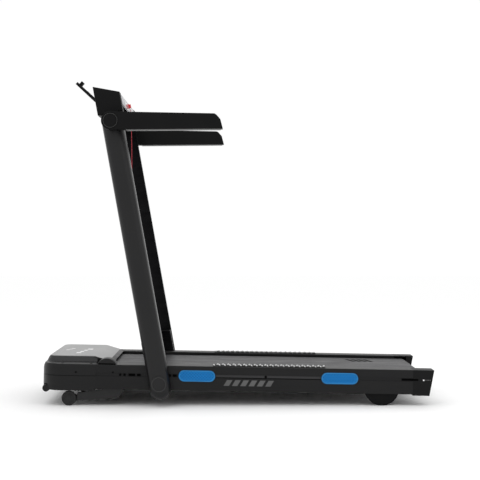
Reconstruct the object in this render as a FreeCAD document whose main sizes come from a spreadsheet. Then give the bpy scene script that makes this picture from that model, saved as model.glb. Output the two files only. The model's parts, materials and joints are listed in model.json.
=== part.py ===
"""Folding home treadmill: sloping deck, fold-down mast with console, and swing-down side handles.

Row frame: origin on the floor under the middle of the deck, +X to the rear, +Y to the user's right,
+Z up, millimetres.  The deck slopes down to the rear, so the base is drawn level in a deck frame that
is then tilted; the mast, the handles and the rest are drawn in frames of their own.
"""
import FreeCAD, Part
import os
import re
import Sketcher
from FreeCAD import Placement, Rotation, Vector
from math import acos, atan2, cos, hypot, pi, sin, tan

doc = FreeCAD.newDocument("treadmill")
sheet = doc.addObject("Spreadsheet::Sheet", "Sizes")

SIZES = {
    # deck, rails and their caps
    "deck_tilt": 1.07, "front_end": -807, "rear_end": 802.6, "track_half": 320, "rail_width": 80,
    "rail_top": 160, "rail_height": 100, "rail_wall": 7, "rail_lip": 4, "rail_skin": 5,
    "rail_flange": 13, "flange_skin": 4, "rail_front": -585, "cap_seam": 715, "cap_drop": 5,
    "cap_rake": 18, "cap_round": 3, "groove_low": 113, "groove_high": 127, "groove_depth": 3, "edge_round": 6,
    "vent_front": -478, "vent_pitch": 22, "vent_long": 13, "screw_x": -513, "screw_r": 2.5,
    "bump_front": -580, "bump_rear": -500, "bump_tall": 24, "bump_wide": 64,
    # grip strips and oval cushion pads
    "grip_front": -105, "grip_rear": 357, "grip_wide": 54, "grip_tall": 6.5,
    "pad_long": 150, "pad_tall": 46, "pad_thick": 3.5, "pad_front": -170, "pad_rear": 415,
    # steel frame under the deck, and the running board on its cushions
    "beam_inset": 62, "beam_wide": 27, "beam_low": 66, "beam_tall": 36, "tube_wall": 2.5,
    "beam_front": -745, "beam_rear": 708, "cross_clear": 7.2, "cross_deep": 40, "cross_gap": 18,
    "cross_middle": 100, "mount_skin": 4, "mount_gap": 4,
    "board_over": 18, "board_thick": 18, "board_front": -566, "board_rear": 716,
    "cushion_front": -480, "cushion_pitch": 275, "cushion_r": 8, "cushion_tall": 24,
    "bolt_r": 3, "head_r": 5.5, "head_tall": 3,
    # rollers and belts
    "roller_r": 23, "roller_over": 3, "roller_wall": 4, "roller_plug": 14,
    "front_roller_x": -600, "rear_roller_x": 745, "shaft_r": 8.5, "run_gap": 0.05,
    "belt_gap": 0.3, "belt_glide": 1.8, "belt_thick": 2, "belt_clear": 10,
    "pulley_r": 28, "pulley_clear": 3, "pulley_wide": 18, "drive_thick": 2.5,
    # drive motor
    "motor_x": -700, "motor_r": 42, "motor_half": 75, "rotor_r": 7,
    "motor_pulley_r": 14, "flywheel_clear": 2, "flywheel_wide": 20,
    "control_in": 120, "control_out": 230,
    # hood
    "hood_wall": 3, "hood_low": 52, "hood_seam": 112, "hood_round": 85, "hood_step": 75,
    "hood_front_round": 20,
    "hood_peak": 185, "hood_nose": -785, "hood_brow": -597, "hood_lip": -534, "hood_lip_z": 168,
    # front rollers for moving the folded machine
    "wheel_gap": 0.5, "trans_x": -790.2, "trans_z": 56.3, "trans_r": 15, "trans_inset": 40,
    "trans_half": 11, "trans_pin_r": 3,
    # incline frame and its lift
    "incline_x": -506.1, "incline_z": 52.6, "incline_pin_r": 10, "arm_clear": 2, "arm_thick": 11,
    "incline_hub_r": 32, "incline_tall": 36, "arm_low": 9, "arm_nose": 30,
    "fork_x": -660, "fork_deep": 22, "fork_step": 10, "fork_plate": 9,
    "caster_x": -694.4, "caster_z": 17.04, "caster_r": 30, "caster_clear": 4,
    "caster_wide": 16, "caster_pin_r": 6, "lever_rise": 30, "lever_in": 8, "lever_thick": 6,
    "lever_pin_r": 4, "lift_rod_r": 6, "lift_half": 35, "lift_front": -440, "eye_play": 1.2,
    # rear feet
    "foot_x": 589.6, "foot_z": 83.03, "foot_r": 72, "foot_wide": 24,
    # mast
    "pivot_x": -320.8, "pivot_z": 91, "pivot_r": 12, "mast_lean": 11.21, "upright_clear": 6,
    "upright_thick": 60, "upright_deep": 86, "upright_top": 1110, "upright_foot": 66,
    "upright_round": 36, "mast_wall": 7, "pivot_cover_r": 33, "cover_thick": 3, "tower_deep": 36,
    "tower_rise": 95, "tower_front": -382, "tower_rear": -293, "tower_step": 19,
    # console head, with its heights above the top of the uprights
    "head_front": -51, "head_rear": 52, "head_face": 44, "head_rise": 118, "head_fall": 80,
    "panel_thick": 4, "panel_edge": 8, "panel_foot": 6, "panel_tall": 68,
    "lens_in": 40, "lens_out": 190, "lens_foot": 34, "lens_tall": 28,
    "button_r": 9, "button_gap": 0.4, "button_foot": 15, "button_proud": 2.5, "button_deep": 6,
    "button_pitch": 46, "circuit_half": 215,
    # side handles
    "handle_drop": 34.3, "handle_level": 10.14, "handle_gap": 2, "handle_thick": 56,
    "handle_r": 37, "handle_long": 448, "handle_nose": 418, "handle_end_top": 28.5,
    "handle_end_low": -32, "handle_pin_r": 14, "handle_cap_r": 29, "insert_thick": 5,
    "insert_wide": 40, "insert_start": 62,
    # tablet holder
    "tablet_x": -59, "tablet_rise": 76.6, "tablet_aim": -36.9, "tablet_long": 145,
    "tablet_thick": 12, "tablet_half": 62, "tablet_pin_r": 3, "tablet_barrel_r": 6,
    "lug_in": 44, "lug_wide": 9, "hook_back": 10, "hook_tall": 16, "hook_thick": 12, "hook_half": 17,
    # safety key and its cord
    "key_drop": 13, "key_r": 10, "key_thick": 12, "key_stem_r": 4.7, "key_hole_r": 5,
    "cord_r": 1.5, "clip_long": 44, "clip_wide": 14, "clip_thick": 9,
    # mains inlet and rocker switch on the hood's front
    "inlet_y": 150, "inlet_half": 14, "inlet_tall": 22, "inlet_z": 84, "switch_y": 105,
    "switch_half": 11, "switch_tall": 14, "switch_gap": 1,
}

# Places worked out from the sizes, so that what fits together moves together.
PLACES = {
    "rail_in": "track_half - rail_width", "beam_in": "track_half - beam_inset",
    "beam_out": "beam_in + beam_wide", "beam_top": "beam_low + beam_tall",
    "mount_top": "beam_low + mount_skin", "board_half": "beam_in + board_over",
    "board_low": "beam_top + cushion_tall", "board_top": "board_low + board_thick",
    "belt_half": "rail_in - belt_clear", "roller_half": "belt_half + roller_over",
    "roller_z": "board_top + belt_glide - belt_gap - roller_r",
    "cross_top": "roller_z - roller_r - belt_gap - belt_thick - cross_clear",
    "cross_front": "motor_x + motor_r + cross_gap",
    "mount_rear": "cross_front - cross_deep / 2 - mount_gap",
    "pulley_in": "roller_half + pulley_clear", "motor_z": "mount_top + motor_r",
    "flywheel_r": "motor_r - flywheel_clear", "hood_half": "track_half - hood_step",
    "trans_mid": "track_half - trans_inset", "arm_in": "beam_out + arm_clear",
    "fork_in": "beam_in + fork_step", "caster_in": "fork_in + fork_plate + caster_clear",
    "upright_in": "track_half + upright_clear", "upright_out": "upright_in + upright_thick",
    "tower_in": "upright_in - tower_deep", "head_peak": "upright_top + head_rise",
    "head_back": "upright_top + head_fall", "panel_half": "upright_in - panel_edge",
    "panel_low": "upright_top + panel_foot", "panel_high": "panel_low + panel_tall",
    "lens_low": "panel_low + lens_foot", "lens_high": "lens_low + lens_tall",
    "button_z": "panel_low + button_foot", "key_z": "panel_high - key_drop",
    "handle_z": "upright_top - handle_drop", "tablet_z": "upright_top + tablet_rise",
}

for row, (alias, number) in enumerate(SIZES.items(), 1):
    sheet.set(f"A{row}", alias)
    sheet.set(f"B{row}", str(number))
    sheet.setAlias(f"B{row}", alias)
doc.recompute()


def formula(text):
    """A size written with the plain words above, as an expression that FreeCAD can bind."""
    def word(match):
        name = match[0]
        if name in PLACES:
            return f"({formula(PLACES[name])})"
        return f"Sizes.{name}" if name in SIZES else name
    return re.sub(r"[a-z_]+", word, str(text))


def number(text):
    """What a formula is worth with the sheet's present values."""
    result = sheet.evalExpression(formula(text))
    return float(getattr(result, "Value", result))


def bind(thing, **sizes):
    for field, text in sizes.items():
        thing.setExpression(field, formula(text))
    return thing


def put(thing, x, y, z):
    for field, text in (("x", x), ("y", y), ("z", z)):
        thing.setExpression(f"Placement.Base.{field}", formula(text))
    return thing


def frame(name, parent, x, y, z, turn):
    """A named frame, moved and turned about +Y inside its parent frame."""
    datum = doc.addObject("App::FeaturePython", name)
    datum.addProperty("App::PropertyPlacement", "Placement")
    step = f"placement(vector({x}; {y}; {z}); rotation(vector(0; 1; 0); {turn}))"
    datum.setExpression("Placement", formula(f"{parent}.Placement * {step}" if parent else step))
    return name


DECK = frame("DeckFrame", "", 0, 0, 0, "deck_tilt")
MAST = frame("MastFrame", DECK, "pivot_x", 0, "pivot_z", "-mast_lean")
ARMS = frame("HandleFrame", MAST, 0, 0, "handle_z", "handle_level")
HOLDER = frame("HolderFrame", MAST, "tablet_x", 0, "tablet_z", "tablet_aim")
FLOOR = frame("FloorFrame", "", 0, 0, 0, 0)
doc.recompute()


def across(side, near, far):
    """The span between two distances out from the middle, on the left (-1) or the right (+1)."""
    return (near, far) if side > 0 else (f"-({far})", f"-({near})")


def box(x, y, z):
    block = doc.addObject("Part::Box", "Block")
    for field, (low, high) in (("Length", x), ("Width", y), ("Height", z)):
        block.setExpression(field, formula(f"({high}) - ({low})"))
    return put(block, x[0], y[0], z[0])


def rod(radius, x, y, z):
    """A cylinder along whichever axis is given as a (low, high) pair."""
    spans = {"x": x, "y": y, "z": z}
    axis = next(name for name, value in spans.items() if isinstance(value, tuple))
    low, high = spans[axis]
    spans[axis] = low
    turn = {"x": (0, 1, 0, 90), "y": (1, 0, 0, -90), "z": (0, 0, 1, 0)}[axis]
    pin = doc.addObject("Part::Cylinder", "Rod")
    pin.Placement = Placement(Vector(), Rotation(Vector(*turn[:3]), turn[3]))
    bind(pin, Radius=radius, Height=f"({high}) - ({low})")
    return put(pin, spans["x"], spans["y"], spans["z"])


def fuse(*shapes):
    whole = doc.addObject("Part::MultiFuse", "Union")
    whole.Shapes = list(shapes)
    return whole


def group(*shapes):
    whole = doc.addObject("Part::Compound", "Set")
    whole.Links = list(shapes)
    return whole


def cut(base, *tools):
    result = doc.addObject("Part::Cut", "Cut")
    result.Base = base
    result.Tool = tools[0] if len(tools) == 1 else fuse(*tools)
    return result


def begin(body, plane, low):
    """An empty sketch on one of the body's own planes, moved along that plane's axis to low."""
    sketch = body.newObject("Sketcher::SketchObject", "Outline")
    role = f"{plane}_Plane"
    origin = next(o for o in body.Origin.OriginFeatures if o.Role == role)
    sketch.AttachmentSupport = [(origin, "")]
    sketch.MapMode = "FlatFace"
    away = f"-({low})" if plane == "XZ" else low
    sketch.setExpression("AttachmentOffset.Base.z", formula(away))
    return sketch


def pin_down(sketch, line, end, x, y):
    """Fix one end of a line, or an arc's centre, at a pair of formulas."""
    for kind, text in (("DistanceX", x), ("DistanceY", y)):
        index = sketch.addConstraint(Sketcher.Constraint(kind, -1, 1, line, end, number(text)))
        sketch.setExpression(f"Constraints[{index}]", formula(text))


def polygon(sketch, points):
    spots = [Vector(number(x), number(y), 0) for x, y in points]
    count = len(spots)
    for i in range(count):
        sketch.addGeometry(Part.LineSegment(spots[i], spots[(i + 1) % count]))
    for i in range(count):
        sketch.addConstraint(Sketcher.Constraint("Coincident", i, 2, (i + 1) % count, 1))
    for i, (x, y) in enumerate(points):
        pin_down(sketch, i, 1, x, y)


def loop(sketch, first, second):
    """A closed belt line round two circles, each given as (x, y, radius)."""
    (x1, y1, r1), (x2, y2, r2) = [[number(v) for v in ring] for ring in (first, second)]
    along = atan2(y2 - y1, x2 - x1)
    lean = acos((r1 - r2) / hypot(x2 - x1, y2 - y1))
    up, down = along + lean, along - lean
    start = sketch.GeometryCount
    circle = [Part.Circle(Vector(x, y, 0), Vector(0, 0, 1), r)
              for x, y, r in ((x1, y1, r1), (x2, y2, r2))]
    at = [[Vector(x + r * cos(a), y + r * sin(a), 0) for a in (up, down)]
          for x, y, r in ((x1, y1, r1), (x2, y2, r2))]
    sketch.addGeometry(Part.ArcOfCircle(circle[0], up, down + 2 * pi))
    sketch.addGeometry(Part.ArcOfCircle(circle[1], down, up))
    sketch.addGeometry(Part.LineSegment(at[0][1], at[1][1]))
    sketch.addGeometry(Part.LineSegment(at[1][0], at[0][0]))
    joins = ((0, 2, 2, 1), (2, 2, 1, 1), (1, 2, 3, 1), (3, 2, 0, 1))
    for a, a_end, b, b_end in joins:
        sketch.addConstraint(Sketcher.Constraint("Tangent", start + a, a_end, start + b, b_end))
    for arc, ring in ((0, first), (1, second)):
        pin_down(sketch, start + arc, 3, ring[0], ring[1])
        index = sketch.addConstraint(Sketcher.Constraint("Radius", start + arc, number(ring[2])))
        sketch.setExpression(f"Constraints[{index}]", formula(ring[2]))


def extrude(body, sketch, plane, low, high):
    solid = body.newObject("PartDesign::Pad", "Pad")
    solid.Profile = sketch
    solid.Reversed = plane == "XZ"
    bind(solid, Length=f"({high}) - ({low})")
    doc.recompute()
    return solid


def plate(plane, points, low, high, *rounds):
    """A padded outline.  Each round is (radius, test), for the edges whose middle and direction pass."""
    body = doc.addObject("PartDesign::Body", "Body")
    sketch = begin(body, plane, low)
    polygon(sketch, points)
    solid = extrude(body, sketch, plane, low, high)
    for radius, test in rounds:
        solid = soften(body, solid, radius, test)
    return body


def soften(body, solid, radius, test):
    names = []
    for i, edge in enumerate(solid.Shape.Edges, 1):
        middle = edge.valueAt((edge.FirstParameter + edge.LastParameter) / 2)
        way = edge.tangentAt((edge.FirstParameter + edge.LastParameter) / 2)
        if test(middle, way):
            names.append(f"Edge{i}")
    fillet = body.newObject("PartDesign::Fillet", "Fillet")
    fillet.Base = (solid, names)
    bind(fillet, Radius=radius)
    doc.recompute()
    return fillet


def belt(plane, rings_out, rings_in, low, high):
    body = doc.addObject("PartDesign::Body", "Body")
    sketch = begin(body, plane, low)
    loop(sketch, *rings_out)
    loop(sketch, *rings_in)
    extrude(body, sketch, plane, low, high)
    return body


pieces = []


def piece(name, where, shape):
    """Name a finished sub-part and place it with its frame."""
    if shape.TypeId in ("Part::Box", "Part::Cylinder"):
        shape = group(shape)
    shape.Label = name
    shape.setExpression("Placement", f"{where}.Placement")
    pieces.append(shape)
    return shape


SIDES = (("left", -1), ("right", 1))

def near(value, text, slack=0.01):
    return abs(value - number(text)) < slack


# ------------------------------------------------------------------ rails and their trim
def side_rail(name, side):
    rim, wall = "track_half", "track_half - rail_wall"
    low, deep = "rail_top - rail_height", "track_half - groove_depth"
    under = "rail_top - rail_skin"
    section = [(rim, low), (rim, "groove_low"), (deep, "groove_low"), (deep, "groove_high"),
               (rim, "groove_high"), (rim, "rail_top"), ("rail_in", "rail_top"),
               ("rail_in", "rail_top - 10"), ("rail_in + rail_lip", "rail_top - 10"),
               ("rail_in + rail_lip", under), (wall, under),
               (wall, f"{low} + flange_skin"), (f"{wall} - rail_flange", f"{low} + flange_skin"),
               (f"{wall} - rail_flange", low)]
    if side < 0:
        section = [(f"-({y})", z) for y, z in section]
    shoulder = lambda spot, way: abs(way.x) > 0.9 and near(spot.z, "rail_top")
    rail = plate("YZ", section, "rail_front", "cap_seam", ("edge_round / 2", shoulder))
    hole = rod("pivot_r + 1", "pivot_x", across(side, "track_half - 2 * rail_wall", "track_half + 5"),
               "pivot_z")
    starts = [f"vent_front + {i} * vent_pitch" for i in range(4)]
    vents = [box((x, f"{x} + vent_long"), across(side, "track_half - groove_depth - 2", "track_half"),
                 ("groove_low + 4", "groove_high - 4")) for x in starts]
    screw = rod("screw_r", "screw_x", across(side, "track_half - 2 * groove_depth", "track_half + 1"),
                "groove_high + 4")
    piece(name, DECK, cut(rail, hole, screw, *vents))


def rail_end_cap(name, side):
    outline = [("cap_seam", "rail_top - rail_height - cap_drop"),
               ("rear_end - cap_rake", "rail_top - rail_height - cap_drop"),
               ("rear_end", "rail_top"), ("cap_seam", "rail_top")]
    rear = lambda spot, way: spot.x > number("rear_end - cap_rake") and abs(way.z) > 0.7
    shell = plate("XZ", outline, *across(side, "rail_in", "track_half"), ("cap_round", rear))
    hollow = box(("cap_seam - 1", "rear_end - cap_rake - 14"),
                 across(side, "rail_in - 1", "track_half - rail_wall"),
                 ("rail_top - rail_height", "rail_top - rail_skin"))
    marker = box(("cap_seam + 8", "cap_seam + 14"), across(side, "track_half - 2", "track_half + 1"),
                 ("groove_low + 5", "groove_high - 5"))
    piece(name, DECK, cut(shell, hollow, marker))


def rail_dome():
    """A low dome on the left rail, just behind the hood."""
    middle, half = "(bump_front + bump_rear) / 2", "(bump_rear - bump_front) / 2"
    radius = f"({half} * {half} + bump_tall * bump_tall) / (2 * bump_tall)"
    side_in = "hood_half + wheel_gap"
    span = across(-1, side_in, f"{side_in} + bump_wide")
    barrel = rod(radius, middle, span, f"rail_top + bump_tall - {radius}")
    below = box((f"{middle} - 2 * {half}", f"{middle} + 2 * {half}"),
                across(-1, f"{side_in} - 1", f"{side_in} + bump_wide + 1"),
                (f"rail_top + bump_tall - 2 * {radius} - 1", "rail_top"))
    piece("rail_dome", DECK, cut(barrel, below))


def grip_strip(name, side):
    middle = "track_half - rail_width / 2"
    corner = lambda spot, way: abs(way.z) > 0.9
    outline = [("grip_front", f"{middle} - grip_wide / 2"), ("grip_rear", f"{middle} - grip_wide / 2"),
               ("grip_rear", f"{middle} + grip_wide / 2"), ("grip_front", f"{middle} + grip_wide / 2")]
    if side < 0:
        outline = [(x, f"-({y})") for x, y in outline]
    piece(name, DECK, plate("XY", outline, "rail_top", "rail_top + grip_tall",
                            ("edge_round", corner)))


def cushion_pads(name, side):
    level = "(groove_low + groove_high) / 2"
    ovals = []
    for middle in ("pad_front", "pad_rear"):
        body = doc.addObject("PartDesign::Body", "Body")
        span = across(side, "track_half", "track_half + pad_thick")
        sketch = begin(body, "XZ", span[0])
        reach = "(pad_long - pad_tall) / 2"
        loop(sketch, (f"{middle} - {reach}", level, "pad_tall / 2"),
             (f"{middle} + {reach}", level, "pad_tall / 2"))
        solid = extrude(body, sketch, "XZ", *span)
        rim = lambda spot, way: near(abs(spot.y), "track_half + pad_thick")
        soften(body, solid, "pad_thick / 2", rim)
        ovals.append(body)
    piece(name, DECK, group(*ovals))


# ------------------------------------------------------------------ frame and running deck
def square_tube(x, y, z, along):
    """A welded box section, open at both ends."""
    inner = {"x": x, "y": y, "z": z}
    for axis, (low, high) in inner.items():
        grow = "1" if axis == along else "-tube_wall"
        inner[axis] = (f"{low} - ({grow})", f"{high} + {grow}")
    return cut(box(x, y, z), box(inner["x"], inner["y"], inner["z"]))


def base_frame():
    parts = []
    for _, side in SIDES:
        beam_y = across(side, "beam_in", "beam_out")
        parts.append(square_tube(("beam_front", "beam_rear"), beam_y, ("beam_low", "beam_top"), "x"))
        parts.append(rod("pivot_r", "pivot_x", across(side, "beam_in + 2", "upright_out - 8"),
                         "pivot_z"))
        for x in ("front_roller_x", "rear_roller_x"):
            ear = box((f"{x} - 14", f"{x} + 14"), across(side, "beam_in + 1", "beam_in + 7"),
                      ("beam_low + 4", "roller_z + shaft_r + 6"))
            bore = rod("shaft_r", x, across(side, "beam_in", "beam_in + 8"), "roller_z")
            parts.append(cut(ear, bore))
        parts.append(box(("beam_rear - 12", "rear_roller_x + 14"),
                         across(side, "beam_in + 1", "beam_in + 7"), ("beam_low + 4", "beam_top - 4")))
        hanger = box(("incline_x - 20", "incline_x + 20"), across(side, "beam_in + 2", "beam_out - 7"),
                     ("incline_z - 16", "beam_low + 1"))
        eye = rod("incline_pin_r + run_gap", "incline_x", across(side, "beam_in", "beam_out"),
                  "incline_z")
        parts.append(cut(hanger, eye))
    parts.append(box(("beam_front", "mount_rear"), ("-(beam_in + 1)", "beam_in + 1"),
                     ("beam_low", "mount_top")))
    for x in ("cross_front", "pivot_x", "cross_middle", "foot_x"):
        parts.append(square_tube((f"{x} - cross_deep / 2", f"{x} + cross_deep / 2"),
                                 ("-(beam_in + 1)", "beam_in + 1"), ("beam_low", "cross_top"), "y"))
    piece("base_frame", DECK, fuse(*parts))


def deck_board():
    corner = lambda spot, way: abs(way.z) > 0.9
    outline = [("board_front", "-board_half"), ("board_rear", "-board_half"),
               ("board_rear", "board_half"), ("board_front", "board_half")]
    piece("deck_board", DECK, plate("XY", outline, "board_low", "board_low + board_thick",
                                    ("edge_round", corner)))


CUSHIONS = [f"cushion_front + {i} * cushion_pitch" for i in range(5)]


def deck_cushions():
    middle = "beam_in + 9"
    pucks = [rod("cushion_r", x, f"{side} * ({middle})", ("beam_top", "board_low"))
             for x in CUSHIONS for _, side in SIDES]
    piece("deck_cushions", DECK, group(*pucks))


def deck_bolts():
    heads = [rod("head_r", x, f"{side} * (beam_in + 9)", ("board_low + board_thick",
             "board_low + board_thick + head_tall")) for x in CUSHIONS for _, side in SIDES]
    piece("deck_bolts", DECK, group(*heads))


def running_belt():
    inside, outside = "roller_r + belt_gap", "roller_r + belt_gap + belt_thick"
    rings = [[(x, "roller_z", r) for x in ("front_roller_x", "rear_roller_x")]
             for r in (outside, inside)]
    piece("running_belt", DECK, belt("XZ", rings[0], rings[1], "-belt_half", "belt_half"))


def rollers():
    shafts = [rod("shaft_r", x, ("-(beam_out)", "beam_out"), "roller_z")
              for x in ("front_roller_x", "rear_roller_x")]
    piece("roller_shafts", DECK, group(*shafts))
    for name, x in (("front_roller", "front_roller_x"), ("rear_roller", "rear_roller_x")):
        drum = rod("roller_r", x, ("-roller_half", "roller_half"), "roller_z")
        bore = rod("shaft_r + run_gap", x, ("-beam_in", "beam_in"), "roller_z")
        inside = rod("roller_r - roller_wall", x, ("-roller_half + roller_plug",
                     "roller_half - roller_plug"), "roller_z")
        if name == "front_roller":
            pulley = rod("pulley_r", x, ("-(pulley_in + pulley_wide)", "-pulley_in"), "roller_z")
            neck = rod("shaft_r + 5", x, ("-(pulley_in + 1)", "-(roller_half - 1)"), "roller_z")
            drum = fuse(drum, pulley, neck)
        piece(name, DECK, cut(drum, bore, inside))
    bolts = []
    for _, side in SIDES:
        y = f"{side} * (beam_in + 16)"
        bolts.append(rod("bolt_r", ("rear_roller_x + shaft_r", "rear_end - cap_rake - 15"), y,
                         "roller_z"))
        bolts.append(rod("bolt_r", ("rear_roller_x - 40", "rear_roller_x - shaft_r"), y, "roller_z"))
    piece("roller_bolts", DECK, group(*bolts))


# ------------------------------------------------------------------ drive under the hood
def drive():
    shell = rod("motor_r", "motor_x", ("-motor_half", "motor_half"), "motor_z")
    bore = rod("rotor_r + run_gap", "motor_x", ("-motor_half - 1", "motor_half + 1"), "motor_z")
    saddle = box(("motor_x - 30", "motor_x + 30"), ("-motor_half + 10", "motor_half - 10"),
                 ("mount_top", "motor_z - motor_r + 12"))
    pulley_y = ("-(pulley_in + pulley_wide)", "-pulley_in")
    piece("drive_motor", DECK, cut(fuse(shell, saddle), bore))
    spindle = rod("rotor_r", "motor_x", ("-(pulley_in + pulley_wide)", "motor_half + 5 + flywheel_wide"),
                  "motor_z")
    wheel = rod("flywheel_r", "motor_x", ("motor_half + 4", "motor_half + 4 + flywheel_wide"),
                "motor_z")
    pulley = rod("motor_pulley_r", "motor_x", pulley_y, "motor_z")
    piece("motor_rotor", DECK, fuse(spindle, wheel, pulley))
    grow = ("belt_gap + drive_thick", "belt_gap")
    rings = [[("motor_x", "motor_z", f"motor_pulley_r + {g}"),
              ("front_roller_x", "roller_z", f"pulley_r + {g}")] for g in grow]
    middle = "pulley_in + pulley_wide / 2"
    piece("drive_belt", DECK, belt("XZ", rings[0], rings[1], f"-({middle}) - 7", f"-({middle}) + 7"))
    board = box(("beam_front + 2", "mount_rear - 2"), ("control_in", "control_out"),
                ("mount_top", "mount_top + 5"))
    fins = [box((f"beam_front + 6 + {10 * i}", f"beam_front + 10 + {10 * i}"),
                ("control_in + 5", "control_out - 5"), ("mount_top + 4", "mount_top + 40"))
            for i in range(7)]
    piece("motor_controller", DECK, fuse(board, *fins))


def plan(inset):
    """Corners of the hood seen from above, drawn in by an inset."""
    front, side = f"front_end + {inset}", f"track_half - {inset}"
    return [(front, f"-({side})"), ("rail_front", f"-({side})"), ("rail_front", side), (front, side)]


def hood_block(inset, low, high):
    corner = lambda spot, way: abs(way.z) > 0.9 and spot.x < number("front_end") + 20
    rounds = [(f"hood_round - {inset}", corner)]
    if "rail_top" in high:
        crown = lambda spot, way: near(spot.z, high) and spot.x < number("rail_front") - 1
        rounds.append((f"hood_front_round - {inset}", crown))
    return plate("XY", plan(inset), low, high, *rounds)


def hood_ridge(inset):
    """The raised middle of the hood, which slopes down to a lip over the belt."""
    top, lip = f"hood_peak - {inset}", f"hood_lip_z - {inset}"
    outline = [(f"front_end + 9 + {inset}", "rail_top - 12"), (f"hood_nose + {inset}", top),
               (f"hood_brow - {inset} / 2", top), ("hood_lip", lip),
               ("hood_lip + 15", "rail_top"), ("hood_lip + 15", "rail_top - 12")]
    if inset:
        outline[3:] = [("hood_lip + 20", f"{lip} - 3"), ("hood_lip + 20", "rail_top - 20")]
        outline[0] = (outline[0][0], "rail_top - 20")
    return plate("XZ", outline, f"-(hood_half - {inset})", f"hood_half - {inset}")


def hood():
    lid = hood_block("0", "hood_seam", "rail_top")
    hollow = hood_block("hood_wall", "hood_seam - 1", "rail_top - hood_wall")
    back = box(("rail_front - 8", "rail_front + 1"), ("-(track_half - hood_wall)",
               "track_half - hood_wall"), ("hood_seam - 1", "rail_top - hood_wall"))
    clear = box(("rail_front", "hood_lip + 20"), ("-(hood_half + 1)", "hood_half + 1"),
                ("rail_top - 21", "rail_top"))
    shell = cut(fuse(lid, hood_ridge(0)), hollow, back, hood_ridge("hood_wall"), clear)
    piece("hood_top", DECK, shell)
    tray = hood_block("0", "hood_low", "hood_seam")
    inside = hood_block("hood_wall", "hood_low + hood_wall", "hood_seam + 1")
    wells = []
    pins = []
    for _, side in SIDES:
        wells.append(box(("caster_x - caster_r - 8", "rail_front + 1"),
                         across(side, "fork_in - 5", "arm_in + arm_thick + 5"),
                         ("hood_low - 1", "hood_low + hood_wall + 1")))
        wells.append(box(("front_end - 1", "trans_x + trans_r + 4"),
                         across(side, "trans_mid - trans_half - 3", "trans_mid + trans_half + 3"),
                         ("hood_low - 1", "trans_z + trans_r + 4")))
        pins.append(rod("trans_pin_r", "trans_x",
                        across(side, "trans_mid - trans_half - 6", "trans_mid + trans_half + 6"),
                        "trans_z"))
        for edge in ("trans_mid - trans_half - 7", "trans_mid + trans_half + 3"):
            pins.append(box(("trans_x - 5", "trans_x + trans_r + 8"), across(side, edge, f"{edge} + 4"),
                            ("trans_z - 5", "trans_z + 9")))
    back = box(("rail_front - hood_wall - 1", "rail_front + 1"),
               ("-(track_half - hood_wall)", "track_half - hood_wall"),
               ("hood_low + hood_wall", "hood_seam + 1"))
    ports = [box(("front_end - 1", "front_end + hood_wall + 1"), (f"{y} - ({half})", f"{y} + {half}"),
                 (f"inlet_z - ({tall}) / 2", f"inlet_z + ({tall}) / 2"))
             for y, half, tall in (("inlet_y", "inlet_half", "inlet_tall"),
                                   ("switch_y", "switch_half + switch_gap",
                                    "switch_tall + 2 * switch_gap"))]
    piece("hood_base", DECK, fuse(cut(tray, inside, back, *wells, *ports), *pins))
    heads = [rod("head_r", x, f"{side} * (track_half - 26)", ("rail_top", "rail_top + head_tall"))
             for x in ("rail_front - 20", "front_end + hood_round") for _, side in SIDES]
    piece("hood_screws", DECK, group(*heads))


def mains():
    shell = box(("front_end + 0.5", "front_end + 26"), ("inlet_y - inlet_half", "inlet_y + inlet_half"),
                ("inlet_z - inlet_tall / 2", "inlet_z + inlet_tall / 2"))
    well = box(("front_end", "front_end + 17"), ("inlet_y - inlet_half + 3", "inlet_y + inlet_half - 3"),
               ("inlet_z - inlet_tall / 2 + 3", "inlet_z + inlet_tall / 2 - 3"))
    blades = [box(("front_end + 6", "front_end + 18"), (f"inlet_y + {dy} - 1", f"inlet_y + {dy} + 1"),
                  (f"inlet_z + {dz} - 2.5", f"inlet_z + {dz} + 2.5"))
              for dy, dz in ((-6, -2), (0, 2), (6, -2))]
    piece("power_inlet", DECK, fuse(cut(shell, well), *blades))
    half = "switch_half"
    tall = "switch_tall / 2"
    outline = [("front_end - 0.4", f"inlet_z - {tall}"), ("front_end + 12", f"inlet_z - {tall} + 2"),
               ("front_end + 12", f"inlet_z + {tall} - 2"), ("front_end - 0.4", f"inlet_z + {tall}"),
               ("front_end + 1.6", "inlet_z")]
    piece("power_switch", DECK, plate("XZ", outline, f"switch_y - {half}", f"switch_y + {half}"))


# ------------------------------------------------------------------ wheels, incline and feet
def wheel(name, x, z, radius, span, bore):
    rim = lambda spot, way: abs(hypot(spot.x, spot.z) - number(radius)) < 0.01
    tyre = doc.addObject("PartDesign::Body", "Body")
    sketch = begin(tyre, "XZ", span[0])
    sketch.addGeometry(Part.Circle(Vector(), Vector(0, 0, 1), number(radius)))
    pin_down(sketch, 0, 3, "0", "0")
    index = sketch.addConstraint(Sketcher.Constraint("Radius", 0, number(radius)))
    sketch.setExpression(f"Constraints[{index}]", formula(radius))
    soften(tyre, extrude(tyre, sketch, "XZ", *span), 2, rim)
    put(tyre, x, "0", z)
    piece(name, DECK, cut(tyre, rod(f"{bore} + run_gap", x, (f"{span[0]} - 1", f"{span[1]} + 1"), z)))


def wheels():
    for side_name, side in SIDES:
        wheel(f"transport_roller_{side_name}", "trans_x", "trans_z", "trans_r",
              across(side, "trans_mid - trans_half", "trans_mid + trans_half"), "trans_pin_r")
        wheel(f"incline_wheel_{side_name}", "caster_x", "caster_z", "caster_r",
              across(side, "caster_in", "caster_in + caster_wide"), "caster_pin_r")


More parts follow.
